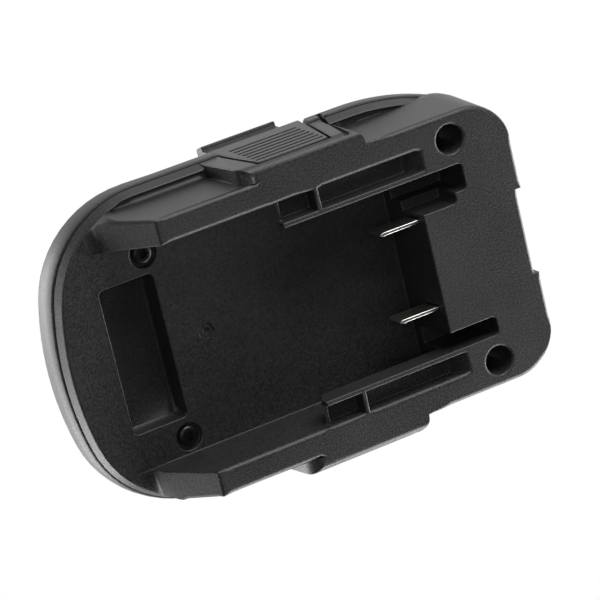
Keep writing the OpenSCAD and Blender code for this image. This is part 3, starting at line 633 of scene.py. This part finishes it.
# %% [markdown]
# ## Latch springs
#
# Behind each button sits a short coil of round wire. A spiral curve with a round profile is the
# shortest way to a coil, and the tree takes turns, width and length as inputs. The coil is built at
# rest and rides with the case.

# %% Springs
def coil_tree(material):
    tree, wire, size = geometry_tree("latch coil", {
        "Turns": "Float", "Coil Diameter": "Float", "Coil Length": "Float", "Wire Diameter": "Float",
        "Place": "Vector"})
    radius = (size["Coil Diameter"] - size["Wire Diameter"]) * 0.5
    coil = wire.node("GeometryNodeCurveSpiral", inputs={
        "Resolution": 40, "Rotations": size["Turns"], "Start Radius": radius, "End Radius": radius,
        "Height": size["Coil Length"] - size["Wire Diameter"]})
    round_wire = wire.node("GeometryNodeCurvePrimitiveCircle", inputs={
        "Resolution": 12, "Radius": size["Wire Diameter"] * 0.5})
    body = wire.node("GeometryNodeCurveToMesh", inputs={
        "Curve": coil, "Profile Curve": round_wire, "Fill Caps": True})
    laid = wire.node("GeometryNodeTransform", inputs={
        "Geometry": body, "Translation": size["Place"], "Rotation": (-math.pi / 2, 0, 0)})
    end_tree(wire, laid, material)
    return tree


coil_recipe = coil_tree(finishes["spring_steel"])
WIRE = 0.5 * MM
for side, sign in (("left", 1), ("right", -1)):
    name = side + "_latch_spring"
    low, high = (Vector(corner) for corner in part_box(name))
    length = high.y - low.y
    coil = grow(name + "_coil", coil_recipe, [(0, 0, 0)], {
        "Turns": 3.0, "Coil Diameter": high.x - low.x, "Coil Length": length, "Wire Diameter": WIRE,
        "Place": ((low.x + high.x) / 2, low.y + WIRE / 2, (low.z + high.z) / 2)})
    finished(coil, "case", name)
    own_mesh(coil)

# %% [markdown]
# ## Studio
#
# The photograph has a white ground, and the object stands on its rails with the camera below. A floor
# at the rails would hide it from there, so the floor shows its upper side only and lets light from
# below pass. It holds the shadow near the object and fades into the white ground further out. The
# world is white where the camera looks. Reflections see a white paper wall behind the object and a dim
# room on the camera's side, and as ambient light the world is weak, so that dark plastic stays dark.

# %% Floor and world
bpy.context.scene.view_settings.view_transform = "Standard"
world = bpy.data.worlds.new("studio")
bpy.context.scene.world = world
world.use_nodes = True
sky = Wire(world.node_tree)
AMBIENT = 0.05
ROOM_GLOSS = 0.06
path = world.node_tree.nodes.new("ShaderNodeLightPath")
seen, mirrored, through = (
    Wire(sky.tree, path.outputs["Is %s Ray" % kind]) for kind in ("Camera", "Glossy", "Transmission"))
way = sky.node("ShaderNodeTexCoord", out="Generated")
behind = sky.node("ShaderNodeVectorMath", out="Value", settings={"operation": "DOT_PRODUCT"}, inputs={
    0: way, 1: AHEAD})
paper_wall = sky.node("ShaderNodeMapRange", settings={"interpolation_type": "SMOOTHSTEP"}, inputs={
    "Value": behind, "From Min": -0.25, "From Max": 0.3, "To Min": ROOM_GLOSS, "To Max": 1.0})
background = world.node_tree.nodes["Background"]
background.inputs["Color"].default_value = (1, 1, 1, 1)
direct = sky.maths("MAXIMUM", seen, through)
sky.feed(background.inputs["Strength"], AMBIENT + direct * (1 - AMBIENT) + mirrored * (paper_wall - AMBIENT))

FADE_FROM = 0.1
FADE_TO = 0.3
paper = bpy.data.materials.new("pale floor")
paper.use_nodes = True
wire = Wire(paper.node_tree)
paper_shader = paper.node_tree.nodes["Principled BSDF"]
paper_shader.inputs["Base Color"].default_value = (0.86, 0.86, 0.86, 1)
paper_shader.inputs["Roughness"].default_value = 0.9
clear = wire.node("ShaderNodeBsdfTransparent")
underside = wire.node("ShaderNodeNewGeometry", out="Backfacing")
far = wire.node("ShaderNodeVectorMath", out="Value", settings={"operation": "LENGTH"}, inputs={
    0: wire.node("ShaderNodeTexCoord", out="Object")})
fade = wire.node("ShaderNodeMapRange", settings={"interpolation_type": "SMOOTHSTEP"}, inputs={
    "Value": far, "From Min": FADE_FROM, "From Max": FADE_TO, "To Min": 0.0, "To Max": 1.0})
one_way = wire.node("ShaderNodeMixShader", inputs={
    0: wire.maths("MAXIMUM", underside, fade), 1: Wire(wire.tree, paper_shader.outputs[0]), 2: clear})
wire.feed(paper.node_tree.nodes["Material Output"].inputs["Surface"], one_way)
FLOOR = 1.5
DROP = -0.05 * MM
floor_data = bpy.data.meshes.new("floor")
corners = ((-1, -1), (1, -1), (1, 1), (-1, 1))
floor_data.from_pydata([(x * FLOOR, y * FLOOR, DROP) for x, y in corners], [], [(0, 1, 2, 3)])
floor_data.materials.append(paper)
floor = bpy.data.objects.new("floor", floor_data)
bpy.context.scene.collection.objects.link(floor)
for ray in ("diffuse", "glossy", "transmission", "shadow", "volume_scatter"):
    setattr(floor, "visible_" + ray, False)
print("studio floor at z =", DROP)

# %% [markdown]
# ## Lamps
#
# Dark plastic shows what it mirrors more than what falls on it. Four broad soft boxes stand a little
# behind the object, round the edge of the picture, and make its edges and its rim glow. One on the
# picture's upper side draws the bright lines along the rails. A weak, smaller one stands by the camera,
# from where it reaches into the dock and the deep screw holes. They are disks, because a round lamp
# leaves no corners in a highlight.

# %% Lamps
LAMP_DISTANCE = 0.9
BROAD = 0.7
SMALL = 0.4
AIM = Vector((0, 0, 20 * MM))


def soft_box(name, way, size, watts):
    lamp = bpy.data.objects.new(name, bpy.data.lights.new(name, "AREA"))
    lamp.data.shape = "DISK"
    lamp.data.size = size
    lamp.data.energy = watts
    place = Vector(way).normalized() * LAMP_DISTANCE + AIM
    lamp.matrix_world = Matrix.Translation(place) @ Vector(way).to_track_quat("Z", "Y").to_matrix().to_4x4()
    bpy.context.scene.collection.objects.link(lamp)


soft_box("left edge light", (-0.69, -0.11, 0.72), BROAD, 7.2)
soft_box("lower left edge light", (-0.67, 0.57, 0.48), BROAD, 7.7)
soft_box("lower right edge light", (0.48, 0.87, -0.12), BROAD, 6.8)
soft_box("right edge light", (0.94, 0.32, -0.12), BROAD, 8.8)
soft_box("upper soft box", (0.30, -0.86, -0.41), BROAD, 5.4)
soft_box("dock fill", -AHEAD, SMALL, 0.85)
